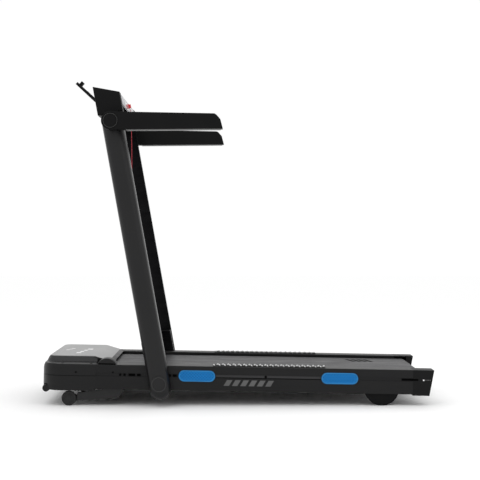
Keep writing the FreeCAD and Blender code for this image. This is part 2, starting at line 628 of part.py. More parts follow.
def incline():
    half = "incline_tall / 2"
    parts = [rod("incline_pin_r", "incline_x", ("-(arm_in + arm_thick)", "arm_in + arm_thick"),
                 "incline_z")]
    for _, side in SIDES:
        arm_y = across(side, "arm_in", "arm_in + arm_thick")
        outline = [("fork_x", "arm_low"), ("incline_x", "incline_z - incline_hub_r"),
                   ("incline_x", f"incline_z + {half}"), ("incline_x - 34", "incline_z + 6"),
                   ("fork_x", "arm_low + arm_nose")]
        parts.append(plate("XZ", outline, *arm_y))
        parts.append(rod("incline_hub_r", "incline_x", arm_y, "incline_z"))
        parts.append(box(("fork_x", "fork_x + fork_deep"), across(side, "fork_in", "arm_in + 1"),
                         ("arm_low", "arm_low + arm_nose")))
        parts.append(box(("caster_x - 12", "fork_x + 1"), across(side, "fork_in", "fork_in + fork_plate"),
                         ("caster_z - 12", "caster_z + 12")))
        parts.append(rod("caster_pin_r", "caster_x",
                         across(side, "fork_in + 1", "caster_in + caster_wide + 2"), "caster_z"))
        parts.append(box(("incline_x - 6", "incline_x + 6"),
                         across(side, "lever_in", "lever_in + lever_thick"),
                         ("incline_z", "incline_z + lever_rise + lever_pin_r + 2")))
    parts.append(rod(12, "fork_x + fork_deep / 2", ("-(fork_in + 1)", "fork_in + 1"),
                     "arm_low + arm_nose / 2"))
    parts.append(rod("lever_pin_r", "incline_x", ("-(lever_in + 1)", "lever_in + 1"),
                     "incline_z + lever_rise"))
    piece("incline_frame", DECK, fuse(*parts))


def lift():
    level = "incline_z + lever_rise"
    housing = box(("lift_front", "pivot_x - cross_deep / 2"), ("-lift_half", "lift_half"),
                  (f"{level} - 22", f"{level} + 9.5"))
    bore = rod("lift_rod_r + run_gap", ("lift_front - 1", "lift_front + 70"), "0", level)
    piece("lift_motor", DECK, cut(housing, bore))
    eye_x = "lever_pin_r + eye_play"
    stem = rod("lift_rod_r", ("incline_x + 10", "lift_front + 66"), "0", level)
    eye = box((f"incline_x - {eye_x} - 5", f"incline_x + {eye_x} + 5"), ("-(lever_in - 1)", "lever_in - 1"),
              (f"{level} - 14", f"{level} + 9"))
    slot = box((f"incline_x - ({eye_x})", f"incline_x + {eye_x}"), ("-lever_in", "lever_in"),
               (f"{level} - 10.5", f"{level} + 5.5"))
    piece("lift_rod", DECK, fuse(stem, cut(eye, slot)))


def rear_foot(name, side):
    span = across(side, "beam_out", "beam_out + foot_wide")
    disc = rod("foot_r", "foot_x", span, "foot_z")
    above = box(("foot_x - foot_r - 1", "foot_x + foot_r + 1"), across(side, "beam_out - 1",
                "beam_out + foot_wide + 1"), ("rail_top - rail_height", "foot_z + foot_r + 1"))
    piece(name, DECK, cut(disc, above))


def hinge_tower(name, side):
    outline = [("tower_front", "rail_top"), ("tower_rear", "rail_top"),
               ("tower_rear - tower_step", "rail_top + tower_rise"),
               ("tower_front - tower_step", "rail_top + tower_rise")]
    edges = lambda spot, way: spot.z > number("rail_top") + 2
    piece(name, DECK, plate("XZ", outline, *across(side, "tower_in", "upright_in - 1"),
                            ("edge_round", edges)))


# ------------------------------------------------------------------ mast and console
def upright(name, side):
    half = "upright_deep / 2"
    span = across(side, "upright_in", "upright_out")
    body = doc.addObject("PartDesign::Body", "Body")
    sketch = begin(body, "XZ", span[0])
    polygon(sketch, [(f"-({half})", "upright_top"), (f"-({half})", "-upright_foot"),
                     (half, "-upright_foot"), (half, "upright_top")])
    solid = extrude(body, sketch, "XZ", *span)
    foot = lambda spot, way: abs(way.y) > 0.9 and spot.z < 0
    solid = soften(body, solid, f"{half} - 1", foot)
    outer = lambda spot, way: near(abs(spot.y), "upright_out") and spot.z < number("upright_top") - 1
    soften(body, solid, "upright_round", outer)
    bore = rod("pivot_r + run_gap", "0", across(side, "upright_in - 1", "upright_out - 6"), "0")
    pin = rod("handle_pin_r", "0", across(side, "upright_out - 10", "upright_out + 40"),
              "handle_z")
    hollow = box((f"-({half}) + mast_wall", f"{half} - mast_wall"),
                 across(side, "upright_in + mast_wall", "upright_out - 2 * mast_wall"),
                 ("pivot_cover_r + 8", "upright_top + 1"))
    piece(name, MAST, fuse(cut(body, bore, hollow), pin))


def pivot_cover(name, side):
    disc = rod("pivot_cover_r", "0", across(side, "upright_out", "upright_out + cover_thick"), "0")
    ring_y = across(side, "upright_out + cover_thick - 1", "upright_out + cover_thick + 1")
    ring = cut(rod("pivot_cover_r - 6", "0", ring_y, "0"), rod("pivot_cover_r - 9", "0", ring_y, "0"))
    piece(name, MAST, cut(disc, ring))


def console():
    head = [("head_front", "upright_top"), ("head_rear", "upright_top"),
            ("head_rear", "head_back"), ("head_front", "head_peak")]
    corner = lambda spot, way: near(abs(spot.y), "upright_out")
    block = plate("XZ", head, "-(upright_out)", "upright_out", ("edge_round", corner))
    face = box(("head_face", "head_rear + 1"), ("-upright_in", "upright_in"),
               ("upright_top - 1", "head_peak"))
    recess = box(("head_face - panel_thick", "head_rear"), ("-panel_half", "panel_half"),
                 ("panel_low", "panel_high"))
    room = box(("head_front + 10", "head_face - panel_thick + 1"), ("-(panel_half - 6)",
               "panel_half - 6"), ("panel_low + 4", "panel_high - 4"))
    lugs = []
    for _, side in SIDES:
        lug_y = across(side, "lug_in", "lug_in + lug_wide")
        lugs.append(box(("tablet_x", "head_front + 1"), lug_y,
                        ("tablet_z - tablet_barrel_r", "tablet_z + tablet_barrel_r")))
        lugs.append(rod("tablet_barrel_r", "tablet_x", lug_y, "tablet_z"))
    hinge = rod("tablet_pin_r", "tablet_x", ("-(lug_in + lug_wide)", "lug_in + lug_wide"), "tablet_z")
    piece("console_housing", MAST, fuse(cut(block, face, recess, room), *lugs, hinge))

    plane = ("head_face - panel_thick", "head_face")
    backing = box(plane, ("-panel_half + 0.2", "panel_half - 0.2"),
                  ("panel_low + 0.2", "panel_high - 0.2"))
    through = ("head_face - panel_thick - 1", "head_face + 1")
    windows = [box(through, across(side, "lens_in", "lens_out"), ("lens_low", "lens_high"))
               for _, side in SIDES]
    holes = [rod("button_r + button_gap", through, y, "button_z") for y in BUTTONS.values()]
    socket = rod("key_hole_r", through, "0", "key_z")
    piece("console_panel", MAST, cut(backing, socket, *windows, *holes))
    lenses = [box(plane, across(side, "lens_in + 0.2", "lens_out - 0.2"), ("lens_low + 0.2",
                  "lens_high - 0.2")) for _, side in SIDES]
    piece("console_lens", MAST, group(*lenses))
    board_x = "head_face - panel_thick - 14"
    piece("console_board", MAST, box((board_x, f"{board_x} + 2"), ("-circuit_half", "circuit_half"),
                                     ("panel_low + 6", "panel_high - 6")))


BUTTONS = {"slower_button": "-button_pitch * 1.5", "stop_button": "-button_pitch / 2",
           "start_button": "button_pitch / 2", "faster_button": "button_pitch * 1.5"}


def buttons():
    for name, y in BUTTONS.items():
        stalk = rod("button_r", ("head_face - button_deep", "head_face + button_proud"), y, "button_z")
        flange = rod("button_r + 2", ("head_face - button_deep - 1",
                     "head_face - panel_thick - button_gap"), y, "button_z")
        piece(name, MAST, fuse(stalk, flange))


# ------------------------------------------------------------------ handles
def handle(tag, side):
    start = "upright_out + handle_gap"
    span = across(side, start, f"{start} + handle_thick")
    outline = [("0", "handle_r - 1"), ("handle_nose", "handle_end_top"),
               ("handle_long - 10", "(handle_end_top + handle_end_low) / 2 + 8"),
               ("handle_long", "handle_end_low"), ("0", "-(handle_r - 1)")]
    nose = lambda spot, way: abs(way.y) > 0.9 and spot.x > number("handle_nose") - 1 and spot.z > 0
    blade = plate("XZ", outline, *span, ("handle_r / 2", nose))
    hub = rod("handle_r", "0", span, "0")
    bore = rod("handle_pin_r + run_gap", "0", across(side, f"{start} - 1", "upright_out + 41"), "0")
    middle = f"{start} + handle_thick / 2"
    insert_y = across(side, f"{middle} - insert_wide / 2", f"{middle} + insert_wide / 2")
    fall = "(handle_end_low + handle_r - 1) / handle_long"
    edge = [(x, f"({x}) * {fall} - handle_r + 1") for x in ("insert_start", "handle_long - 8")]
    top = [(x, f"{z} + insert_thick") for x, z in reversed(edge)]
    seat = plate("XZ", [(x, f"{z} - 2") for x, z in edge] + top, *insert_y)
    piece(f"handle_{tag}", ARMS, cut(fuse(blade, hub), bore, seat))
    piece(f"handle_insert_{tag}", ARMS, plate("XZ", edge + top, *insert_y))
    face = f"{start} + handle_thick"
    disc = rod("handle_cap_r", "0", across(side, face, f"{face} + cover_thick"), "0")
    ring_y = across(side, f"{face} + cover_thick - 1", f"{face} + cover_thick + 1")
    ring = cut(rod("handle_cap_r - 3", "0", ring_y, "0"), rod("handle_cap_r - 5", "0", ring_y, "0"))
    piece(f"handle_cap_{tag}", ARMS, cut(disc, ring))


# ------------------------------------------------------------------ tablet holder, key and cord
def tablet_holder():
    """Drawn upright at its hinge: z runs out along the plate, x towards the user."""
    corner = lambda spot, way: abs(way.x) > 0.9
    outline = [("-tablet_half", "tablet_barrel_r + 2"), ("tablet_half", "tablet_barrel_r + 2"),
               ("tablet_half", "tablet_long"), ("-tablet_half", "tablet_long")]
    board = plate("YZ", outline, "-tablet_thick / 2", "tablet_thick / 2", ("edge_round", corner))
    barrel_y = ("-(lug_in - wheel_gap)", "lug_in - wheel_gap")
    barrel = rod("tablet_barrel_r", "0", barrel_y, "0")
    web = box(("-tablet_barrel_r + 1", "tablet_barrel_r - 1"), barrel_y, ("0", "tablet_barrel_r + 3"))
    bore = rod("tablet_pin_r + run_gap", "0", ("-lug_in", "lug_in"), "0")
    hook_z = "tablet_long - hook_back"
    hook = box(("tablet_thick / 2 - 1", "tablet_thick / 2 + hook_tall"), ("-hook_half", "hook_half"),
               (f"{hook_z} - hook_thick / 2", f"{hook_z} + hook_thick / 2"))
    piece("tablet_holder", HOLDER, cut(fuse(board, barrel, web, hook), bore))


# The cord hangs from the key in a very slight bow, down between the uprights.
LANYARD = [(-464, 0, 1246), (-463, 2, 1214), (-461.5, 5, 1160), (-460.5, 8, 1102),
           (-460, 10, 1043), (-460.5, 11, 984), (-461.5, 11, 925), (-463, 10, 866),
           (-465, 8, 807), (-467.5, 5, 749), (-470.5, 1.5, 692), (-474, -2, 640)]


def cord_tube(points, radius):
    """Straight runs joined by tangent arcs, each as large as its two runs allow."""
    spots = [Vector(*p) for p in points]
    edges = []
    start = spots[0]
    for before, corner, after in zip(spots, spots[1:], spots[2:]):
        come, leave = (corner - before), (after - corner)
        turn = come.getAngle(leave)
        shorter = min(come.Length, leave.Length)
        bend = 0.45 * shorter / tan(turn / 2)
        come.normalize()
        leave.normalize()
        first, last = corner - come * 0.45 * shorter, corner + leave * 0.45 * shorter
        inward = (leave - come).normalize()
        middle = corner + inward * (bend / cos(turn / 2) - bend)
        edges.append(Part.LineSegment(start, first).toShape())
        edges.append(Part.Arc(first, middle, last).toShape())
        start = last
    edges.append(Part.LineSegment(start, spots[-1]).toShape())
    path = Part.Wire(edges)
    ring = Part.Wire(Part.Circle(spots[0], spots[1] - spots[0], radius).toShape())
    tube = path.makePipeShell([ring], True, False)
    print(f"cord length {path.Length:.1f} mm")
    return tube


def key_and_cord():
    disc = rod("key_r", ("head_face + 0.4", "head_face + 0.4 + key_thick"), "0", "key_z")
    grip = box(("head_face + key_thick - 4", "head_face + key_thick + 7"), ("-4", "4"),
               ("key_z - key_r + 1", "key_z + key_r - 3"))
    stem = rod("key_stem_r", ("head_face - panel_thick - 2", "head_face + 1"), "0", "key_z")
    piece("safety_key", MAST, fuse(disc, grip, stem))
    tube = doc.addObject("Part::Feature", "Lanyard")
    tube.Shape = cord_tube(LANYARD, number("cord_r"))
    tube.Placement = Placement()
    tube.Label = "lanyard"
    pieces.append(tube)
    x, y, z = LANYARD[-1]
    corner = lambda spot, way: abs(way.x) > 0.9
    outline = [(f"{y} - clip_wide / 2", f"{z} - clip_long"), (f"{y} + clip_wide / 2", f"{z} - clip_long"),
               (f"{y} + clip_wide / 2", z), (f"{y} - clip_wide / 2", z)]
    piece("lanyard_clip", FLOOR, plate("YZ", outline, f"{x} - clip_thick / 2", f"{x} + clip_thick / 2",
                                       ("edge_round / 2", corner)))


# ------------------------------------------------------------------ build, check and write
for side_name, side_sign in SIDES:
    side_rail(f"side_rail_{side_name}", side_sign)
    rail_end_cap(f"rail_end_cap_{side_name}", side_sign)
    grip_strip(f"grip_strip_{side_name}", side_sign)
    cushion_pads(f"cushion_pads_{side_name}", side_sign)
    rear_foot(f"rear_foot_{side_name}", side_sign)
    hinge_tower(f"hinge_tower_{side_name}", side_sign)
    upright(f"upright_{side_name}", side_sign)
    pivot_cover(f"pivot_cover_{side_name}", side_sign)
    handle(side_name, side_sign)
rail_dome()
base_frame()
deck_board()
deck_cushions()
deck_bolts()
running_belt()
rollers()
drive()
hood()
mains()
wheels()
incline()
lift()
console()
buttons()
tablet_holder()
key_and_cord()
doc.recompute()

for thing in doc.Objects:
    if "Invalid" in thing.State or "Error" in thing.State:
        raise RuntimeError(f"{thing.Label} failed: {thing.State}")
os.makedirs("parts", exist_ok=True)
for thing in pieces:
    if thing.Shape.isNull() or not thing.Shape.isValid() or not thing.Shape.Solids:
        raise RuntimeError(f"{thing.Label} has no valid solid")
    thing.Shape.exportStep(f"parts/{thing.Label}.step")
print(f"{len(pieces)} sub-parts written")
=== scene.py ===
"""Folding treadmill: its finished pieces, finishes, light and camera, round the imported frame."""
import json
from math import asin, atan2, cos, pi, radians, sin

import bmesh
import bpy
from mathutils import Matrix, Vector


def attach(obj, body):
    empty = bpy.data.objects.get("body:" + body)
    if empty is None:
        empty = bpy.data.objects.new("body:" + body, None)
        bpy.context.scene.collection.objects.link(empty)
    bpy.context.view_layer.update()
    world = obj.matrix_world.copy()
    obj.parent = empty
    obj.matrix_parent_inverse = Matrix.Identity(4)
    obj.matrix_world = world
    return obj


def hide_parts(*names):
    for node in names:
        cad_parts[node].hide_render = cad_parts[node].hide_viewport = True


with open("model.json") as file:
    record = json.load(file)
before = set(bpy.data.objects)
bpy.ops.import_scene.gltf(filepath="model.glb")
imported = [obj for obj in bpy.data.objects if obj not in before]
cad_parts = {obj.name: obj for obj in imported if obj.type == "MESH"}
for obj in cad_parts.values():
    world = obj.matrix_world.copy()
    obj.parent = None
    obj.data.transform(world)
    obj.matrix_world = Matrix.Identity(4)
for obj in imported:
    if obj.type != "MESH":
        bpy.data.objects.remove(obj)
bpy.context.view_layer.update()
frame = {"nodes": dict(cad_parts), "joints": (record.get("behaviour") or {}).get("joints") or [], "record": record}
NODES = frame["nodes"]
RECORD = frame["record"]
JOINTS = {joint["name"]: joint for joint in frame["joints"]}
MOUNTS = {mount["name"]: mount for mount in RECORD["mounts"]}
MM = 0.001
WELD = 2e-5                     # corners of a CAD mesh nearer than this are one corner
FLAT = radians(0.6)             # faces that meet at less than this are one flat face


# ---------------------------------------------------------------- frames of the deck, mast and arms
def pivot(name):
    """Where a joint's axis lies."""
    return Vector(JOINTS[name]["pos_m"])


front_axle, rear_axle = pivot("front_roller_spin"), pivot("rear_roller_spin")
TILT = atan2(front_axle.z - rear_axle.z, rear_axle.x - front_axle.x)
DECK = Matrix.Rotation(TILT, 4, "Y")
mast_foot = pivot("mast_fold")
handle_axis = pivot("handle_left_fold")
LEAN = atan2(mast_foot.x - handle_axis.x, handle_axis.z - mast_foot.z)
MAST = Matrix.Translation(mast_foot) @ Matrix.Rotation(-LEAN, 4, "Y")
shelf = Vector(MOUNTS["tablet_rest"]["axis"])
HOLDER = Matrix.Translation(pivot("tablet_fold")) @ Matrix.Rotation(-atan2(shelf.z, shelf.x), 4, "Y")


def span(node, space=DECK):
    """Lowest and highest corners of a CAD node, measured in one of the frames above."""
    inverse = space.inverted()
    spots = [inverse @ v.co for v in NODES[node].data.vertices]
    return (Vector([min(p[i] for p in spots) for i in range(3)]),
            Vector([max(p[i] for p in spots) for i in range(3)]))


# ---------------------------------------------------------------- finishes
def shader(name, colour, roughness, metallic=0.0, coat=0.0, specular=0.5):
    material = bpy.data.materials.new(name)
    material.use_nodes = True
    surface = material.node_tree.nodes["Principled BSDF"]
    surface.inputs["Base Color"].default_value = (*colour, 1)
    surface.inputs["Roughness"].default_value = roughness
    surface.inputs["Metallic"].default_value = metallic
    surface.inputs["Coat Weight"].default_value = coat
    surface.inputs["Specular IOR Level"].default_value = specular
    return material, material.node_tree, surface


def link(tree, source, output, target, socket):
    tree.links.new(source.outputs[output], target.inputs[socket])


def coordinates(tree, scale=(1, 1, 1), turn=(0, 0, 0)):
    """The piece's own coordinates, stretched and turned for a pattern."""
    place = tree.nodes.new("ShaderNodeTexCoord")
    mapping = tree.nodes.new("ShaderNodeMapping")
    mapping.inputs["Scale"].default_value = scale
    mapping.inputs["Rotation"].default_value = turn
    link(tree, place, "Object", mapping, "Vector")
    return mapping


def noise(tree, mapping, scale, detail=3.0):
    node = tree.nodes.new("ShaderNodeTexNoise")
    node.inputs["Scale"].default_value = scale
    node.inputs["Detail"].default_value = detail
    link(tree, mapping, "Vector", node, "Vector")
    return node


def ramp(tree, source, output, low, high, start=0.0, end=1.0):
    """Spread a grey pattern between two colours or two grey values."""
    node = tree.nodes.new("ShaderNodeValToRGB")
    stops = node.color_ramp.elements
    stops[0].position, stops[1].position = start, end
    stops[0].color = (*low, 1) if isinstance(low, tuple) else (low, low, low, 1)
    stops[1].color = (*high, 1) if isinstance(high, tuple) else (high, high, high, 1)
    link(tree, source, output, node, "Fac")
    return node


def bump(tree, surface, source, output, strength, distance):
    node = tree.nodes.new("ShaderNodeBump")
    node.inputs["Strength"].default_value = strength
    node.inputs["Distance"].default_value = distance
    link(tree, source, output, node, "Height")
    link(tree, node, "Normal", surface, "Normal")


def shade(colour, factor):
    """A colour made lighter or darker."""
    return tuple(min(1.0, c * factor) for c in colour)


def moulded(name, colour, roughness, grain=900, depth=0.00012, coat=0.0, specular=0.3):
    """Fine-grained moulded plastic, with slow changes of tone and gloss."""
    material, tree, surface = shader(name, colour, roughness, coat=coat, specular=specular)
    mapping = coordinates(tree)
    slow = noise(tree, mapping, 9)
    link(tree, ramp(tree, slow, "Fac", shade(colour, 0.86), shade(colour, 1.16), 0.3, 0.7), "Color",
         surface, "Base Color")
    link(tree, ramp(tree, slow, "Fac", roughness - 0.05, roughness + 0.07, 0.3, 0.7), "Color",
         surface, "Roughness")
    bump(tree, surface, noise(tree, mapping, grain, 2.0), "Fac", 0.35, depth)
    return material


def powder_coat(name, colour, roughness, specular=0.2):
    """Satin paint on metal, with a faint orange peel."""
    material, tree, surface = shader(name, colour, roughness, coat=0.04, specular=specular)
    surface.inputs["Coat Roughness"].default_value = 0.35
    mapping = coordinates(tree)
    slow = noise(tree, mapping, 5)
    link(tree, ramp(tree, slow, "Fac", shade(colour, 0.9), shade(colour, 1.12), 0.3, 0.7), "Color",
         surface, "Base Color")
    link(tree, ramp(tree, noise(tree, mapping, 60), "Fac", roughness - 0.04, roughness + 0.06), "Color",
         surface, "Roughness")
    bump(tree, surface, noise(tree, mapping, 380, 1.0), "Fac", 0.18, 0.0001)
    return material


def gloss(name, colour, roughness=0.08, coat=0.6, specular=0.5):
    """Polished plastic or glass with faint wiping smears."""
    material, tree, surface = shader(name, colour, roughness, coat=coat, specular=specular)
    smears = noise(tree, coordinates(tree, (1, 1, 4)), 14)
    link(tree, ramp(tree, smears, "Fac", roughness, roughness + 0.12, 0.4, 0.75), "Color",
         surface, "Roughness")
    return material


def brushed(name, colour, roughness, along=(1, 60, 60)):
    """Bare metal with fine lines along one axis."""
    material, tree, surface = shader(name, colour, roughness, metallic=1.0)
    lines = noise(tree, coordinates(tree, along), 30)
    link(tree, ramp(tree, lines, "Fac", shade(colour, 0.8), shade(colour, 1.15)), "Color",
         surface, "Base Color")
    link(tree, ramp(tree, lines, "Fac", roughness - 0.08, roughness + 0.12), "Color",
         surface, "Roughness")
    bump(tree, surface, lines, "Fac", 0.15, 0.0001)
    return material


def belt_rubber():
    """A running belt: small diamonds pressed into black rubber, with pale dust from use."""
    colour = (0.034, 0.034, 0.036)
    material, tree, surface = shader("belt_rubber", colour, 0.55, specular=0.22)
    waves = []
    for turn in (radians(45), radians(-45)):
        wave = tree.nodes.new("ShaderNodeTexWave")
        wave.inputs["Scale"].default_value = 1.0
        link(tree, coordinates(tree, (90, 90, 90), (0, 0, turn)), "Vector", wave, "Vector")
        waves.append(wave)
    diamonds = tree.nodes.new("ShaderNodeMath")
    diamonds.operation = "MULTIPLY"
    for i, wave in enumerate(waves):
        tree.links.new(wave.outputs["Fac"], diamonds.inputs[i])
    bump(tree, surface, diamonds, "Value", 0.4, 0.0005)
    dust = noise(tree, coordinates(tree, (1.5, 6, 1)), 5)
    link(tree, ramp(tree, dust, "Fac", shade(colour, 0.92), shade(colour, 1.3), 0.3, 0.8), "Color",
         surface, "Base Color")
    link(tree, ramp(tree, dust, "Fac", 0.42, 0.6, 0.3, 0.7), "Color", surface, "Roughness")
    return material


def pad_rubber():
    """Blue elastomer with a diagonal grid of small dimples on its upright face, each darkened towards its middle
    as painted shade.
    """
    painted_dimple_shade, bright = (0.0006, 0.03, 0.13), (0.005, 0.2, 0.55)
    material, tree, surface = shader("pad_rubber", bright, 0.45, specular=0.15)
    cells = tree.nodes.new("ShaderNodeTexVoronoi")
    cells.voronoi_dimensions = "2D"
    cells.inputs["Scale"].default_value = 115
    cells.inputs["Randomness"].default_value = 0.05
    upright_diagonal = (radians(90), 0, radians(45))
    link(tree, coordinates(tree, turn=upright_diagonal), "Vector", cells, "Vector")
    # dimple middles take the dark blue: painted shade in the dimples
    link(tree, ramp(tree, cells, "Distance", painted_dimple_shade, bright, 0.26, 0.42), "Color", surface, "Base Color")
    bump(tree, surface, cells, "Distance", 0.7, 0.0008)
    return material


def braid():
    """Red braided cord: fine crossing ribs along the spline's own length."""
    colour = (0.36, 0.012, 0.025)
    material, tree, surface = shader("braid", colour, 0.6, specular=0.2)
    surface.inputs["Sheen Weight"].default_value = 0.3
    wave = tree.nodes.new("ShaderNodeTexWave")
    wave.bands_direction = "DIAGONAL"
    wave.inputs["Scale"].default_value = 1.0
    link(tree, coordinates(tree, (700, 700, 700)), "Vector", wave, "Vector")
    link(tree, ramp(tree, wave, "Fac", shade(colour, 0.6), shade(colour, 1.2)), "Color",
         surface, "Base Color")
    bump(tree, surface, wave, "Fac", 0.5, 0.0003)
    return material


def board_film():
    """The deck board's dark phenolic film, over a long wood grain."""
    colour = (0.03, 0.027, 0.024)
    material, tree, surface = shader("board_film", colour, 0.45)
    grain = noise(tree, coordinates(tree, (2, 40, 40)), 6, 6.0)
    link(tree, ramp(tree, grain, "Fac", shade(colour, 0.7), shade(colour, 1.6), 0.3, 0.7), "Color",
         surface, "Base Color")
    bump(tree, surface, grain, "Fac", 0.2, 0.0003)
    return material


FINISH = {
    "frame_black": powder_coat("frame_paint", (0.007, 0.007, 0.0075), 0.5),
    "rail_black": powder_coat("rail_paint", (0.008, 0.008, 0.0083), 0.45, 0.16),
    "upright_black": powder_coat("upright_paint", (0.0045, 0.0045, 0.0049), 0.33, 0.27),
    "moulded_black": moulded("moulded_black", (0.0052, 0.0052, 0.0054), 0.5, specular=0.08),
    "handle_grey": moulded("handle_grey", (0.15, 0.15, 0.15), 0.45),
    "gloss_black": gloss("gloss_black", (0.0025, 0.0025, 0.003), 0.22, 0.0, 0.1),
    "grip_grey": moulded("grip_base", (0.004, 0.004, 0.004), 0.6, specular=0.1),
    "pad_blue": pad_rubber(),
    "deck_board": board_film(),
    "cushion_rubber": moulded("cushion_rubber", (0.02, 0.02, 0.02), 0.7),
    "belt_black": belt_rubber(),
    "steel": brushed("zinc_steel", (0.55, 0.55, 0.56), 0.3),
    "roller_steel": brushed("turned_steel", (0.5, 0.5, 0.52), 0.28, (60, 1, 60)),
    "motor_grey": powder_coat("motor_paint", (0.05, 0.05, 0.055), 0.4),
    "board_green": moulded("board_green", (0.01, 0.09, 0.04), 0.4),
    "lens": gloss("lens_black", (0.004, 0.004, 0.006), 0.04),
    "signal_red": moulded("signal_red", (0.62, 0.035, 0.045), 0.32, 500, 0.00006, 0.3),
    "cord_red": braid(),
    "button_grey": moulded("button_grey", (0.22, 0.22, 0.23), 0.4),
    "wheel_black": moulded("wheel_rubber", (0.016, 0.016, 0.016), 0.6, 300, 0.0002),
}
CAP_BLACK = moulded("cap_black", (0.007, 0.007, 0.0072), 0.46, specular=0.1)
HOOD_BLACK = moulded("hood_black", (0.0048, 0.0048, 0.005), 0.42, specular=0.22)
# a lighter black for the hood's upper faces: painted light from above on the same plastic as hood_black
HOOD_TOP_PAINTED_LIGHT = moulded("hood_top_painted_light", (0.019, 0.019, 0.0195), 0.4, specular=0.35)
ARM_BLACK = powder_coat("arm_paint", (0.012, 0.012, 0.0124), 0.42, 0.28)
DISPLAY_GREY = gloss("display_grey", (0.3, 0.33, 0.34), 0.08)
HOOD_SILVER = moulded("hood_silver", (0.30, 0.30, 0.30), 0.42, 700, 0.00008)
# a lighter blue for the pads' rims: a painted highlight along their edges
PAD_RIM_PAINTED_HIGHLIGHT = moulded("pad_rim_painted_highlight", (0.012, 0.18, 0.44), 0.4, specular=0.3)
# pale grey for the band across the head's face: a painted reflection on the dark plastic
BEZEL_PAINTED_REFLECTION = moulded("bezel_painted_reflection", (0.5, 0.5, 0.51), 0.5, 700, 0.00005, specular=0.15)
INNER_BLACK = gloss("inner_black", (0.0015, 0.0015, 0.002), 0.2, 0.0, 0.12)
BLACK_ZINC = powder_coat("black_zinc", (0.012, 0.012, 0.012), 0.4)
SLOT_BLACK = moulded("slot_black", (0.001, 0.001, 0.001), 0.7, specular=0.02)
PANEL_BLACK = moulded("panel_black", (0.0016, 0.0016, 0.0018), 0.8, specular=0.0)
MARK_WHITE = moulded("printed_white", (0.75, 0.75, 0.75), 0.5)
# pale grey for the thin rings round the covers: a painted highlight on their edges
RING_PAINTED_HIGHLIGHT = moulded("ring_painted_highlight", (0.06, 0.06, 0.06), 0.4, specular=0.4)
MARK_GREY = moulded("printed_grey", (0.085, 0.085, 0.085), 0.5)
# lighter grey inside the rails' groove: a painted highlight
GROOVE_PAINTED_HIGHLIGHT = powder_coat("groove_painted_highlight", (0.026, 0.026, 0.027), 0.4)
GRIP_METAL = moulded("grip_metal", (0.66, 0.66, 0.66), 0.35, specular=0.5)
SLOTS = {part["node"]: part["material_slot"] for part in RECORD["subparts"]}
for node, thing in NODES.items():
    thing.data.materials.clear()
    dark_screws = node in ("hood_screws", "deck_bolts")
    thing.data.materials.append(BLACK_ZINC if dark_screws else FINISH[SLOTS[node]])


# ---------------------------------------------------------------- making pieces
def block(bm, low, high, round_by=0.0):
    """A box between two corners, with its edges rounded."""
    low, high = Vector(low), Vector(high)
    made = bmesh.ops.create_cube(bm, size=1.0)["verts"]
    bmesh.ops.scale(bm, vec=high - low, verts=made)
    bmesh.ops.translate(bm, vec=(low + high) / 2, verts=made)
    if round_by:
        edges = list({edge for v in made for edge in v.link_edges})
        bmesh.ops.bevel(bm, geom=edges, offset=round_by, offset_type="OFFSET", affect="EDGES",
                        segments=3, profile=0.5, material=-1)


def prism(bm, outline, low, high, axis="y"):
    """A flat outline pulled along an axis: x and z are given for y, y and z for x, x and y for z."""
    order = {"y": (0, 2, 1), "x": (1, 2, 0), "z": (0, 1, 2)}[axis]
    verts = []
    for a, b in outline:
        spot = [0, 0, 0]
        spot[order[0]], spot[order[1]], spot[order[2]] = a, b, low
        verts.append(bm.verts.new(spot))
    face = bm.faces.new(verts)
    pulled = bmesh.ops.extrude_face_region(bm, geom=[face])["geom"]
    shift = [0, 0, 0]
    shift[order[2]] = high - low
    bmesh.ops.translate(bm, vec=shift, verts=[g for g in pulled if isinstance(g, bmesh.types.BMVert)])


def disc(bm, centre, radius, low, high):
    """A cylinder along Y, between two places on it; its centre is given as x and z."""
    made = bmesh.ops.create_cone(bm, cap_ends=True, segments=48, radius1=radius, radius2=radius,
                                 depth=high - low)["verts"]
    bmesh.ops.rotate(bm, cent=(0, 0, 0), matrix=Matrix.Rotation(radians(90), 3, "X"), verts=made)
    bmesh.ops.translate(bm, vec=(centre[0], (low + high) / 2, centre[1]), verts=made)


def turned(bm, profile):
    """Spin a closed profile of (radius, y) pairs about the Y axis."""
    verts = [bm.verts.new((r, y, 0)) for r, y in profile]
    ring = [bm.edges.new((verts[i], verts[(i + 1) % len(verts)])) for i in range(len(verts))]
    bmesh.ops.spin(bm, geom=verts + ring, cent=(0, 0, 0), axis=(0, 1, 0), angle=2 * pi,
                   steps=72, use_merge=True, use_duplicate=False)
    bmesh.ops.remove_doubles(bm, verts=bm.verts, dist=1e-6)


def crisp(bm, angle=32):
    """Shade the faces smooth, with a hard line wherever they meet at more than the angle."""
    for face in bm.faces:
        face.smooth = True
    for edge in bm.edges:
        edge.smooth = edge.calc_face_angle(pi) < radians(angle) if edge.is_manifold else False


def finish_piece(name, bm, space, body, finish, replaces=(), angle=32):
    """Put a shape in its place, give it its finish, and let it ride on its body."""
    bmesh.ops.transform(bm, matrix=space, verts=bm.verts)
    bmesh.ops.recalc_face_normals(bm, faces=bm.faces)
    crisp(bm, angle)
    mesh = bpy.data.meshes.new(name)
    bm.to_mesh(mesh)
    bm.free()
    piece = bpy.data.objects.new(name, mesh)
    bpy.context.scene.collection.objects.link(piece)
    mesh.materials.append(finish)
    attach(piece, body)
    if replaces:
        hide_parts(*replaces)
    return piece


BODY_OF = {node: body for body, members in RECORD["behaviour"]["bodies"].items() for node in members}


def merge_cad(bm):
    """Make a CAD node's loose triangles one surface with whole flat faces."""
    bmesh.ops.remove_doubles(bm, verts=bm.verts, dist=WELD)
    bmesh.ops.dissolve_limit(bm, angle_limit=FLAT, verts=bm.verts, edges=bm.edges)


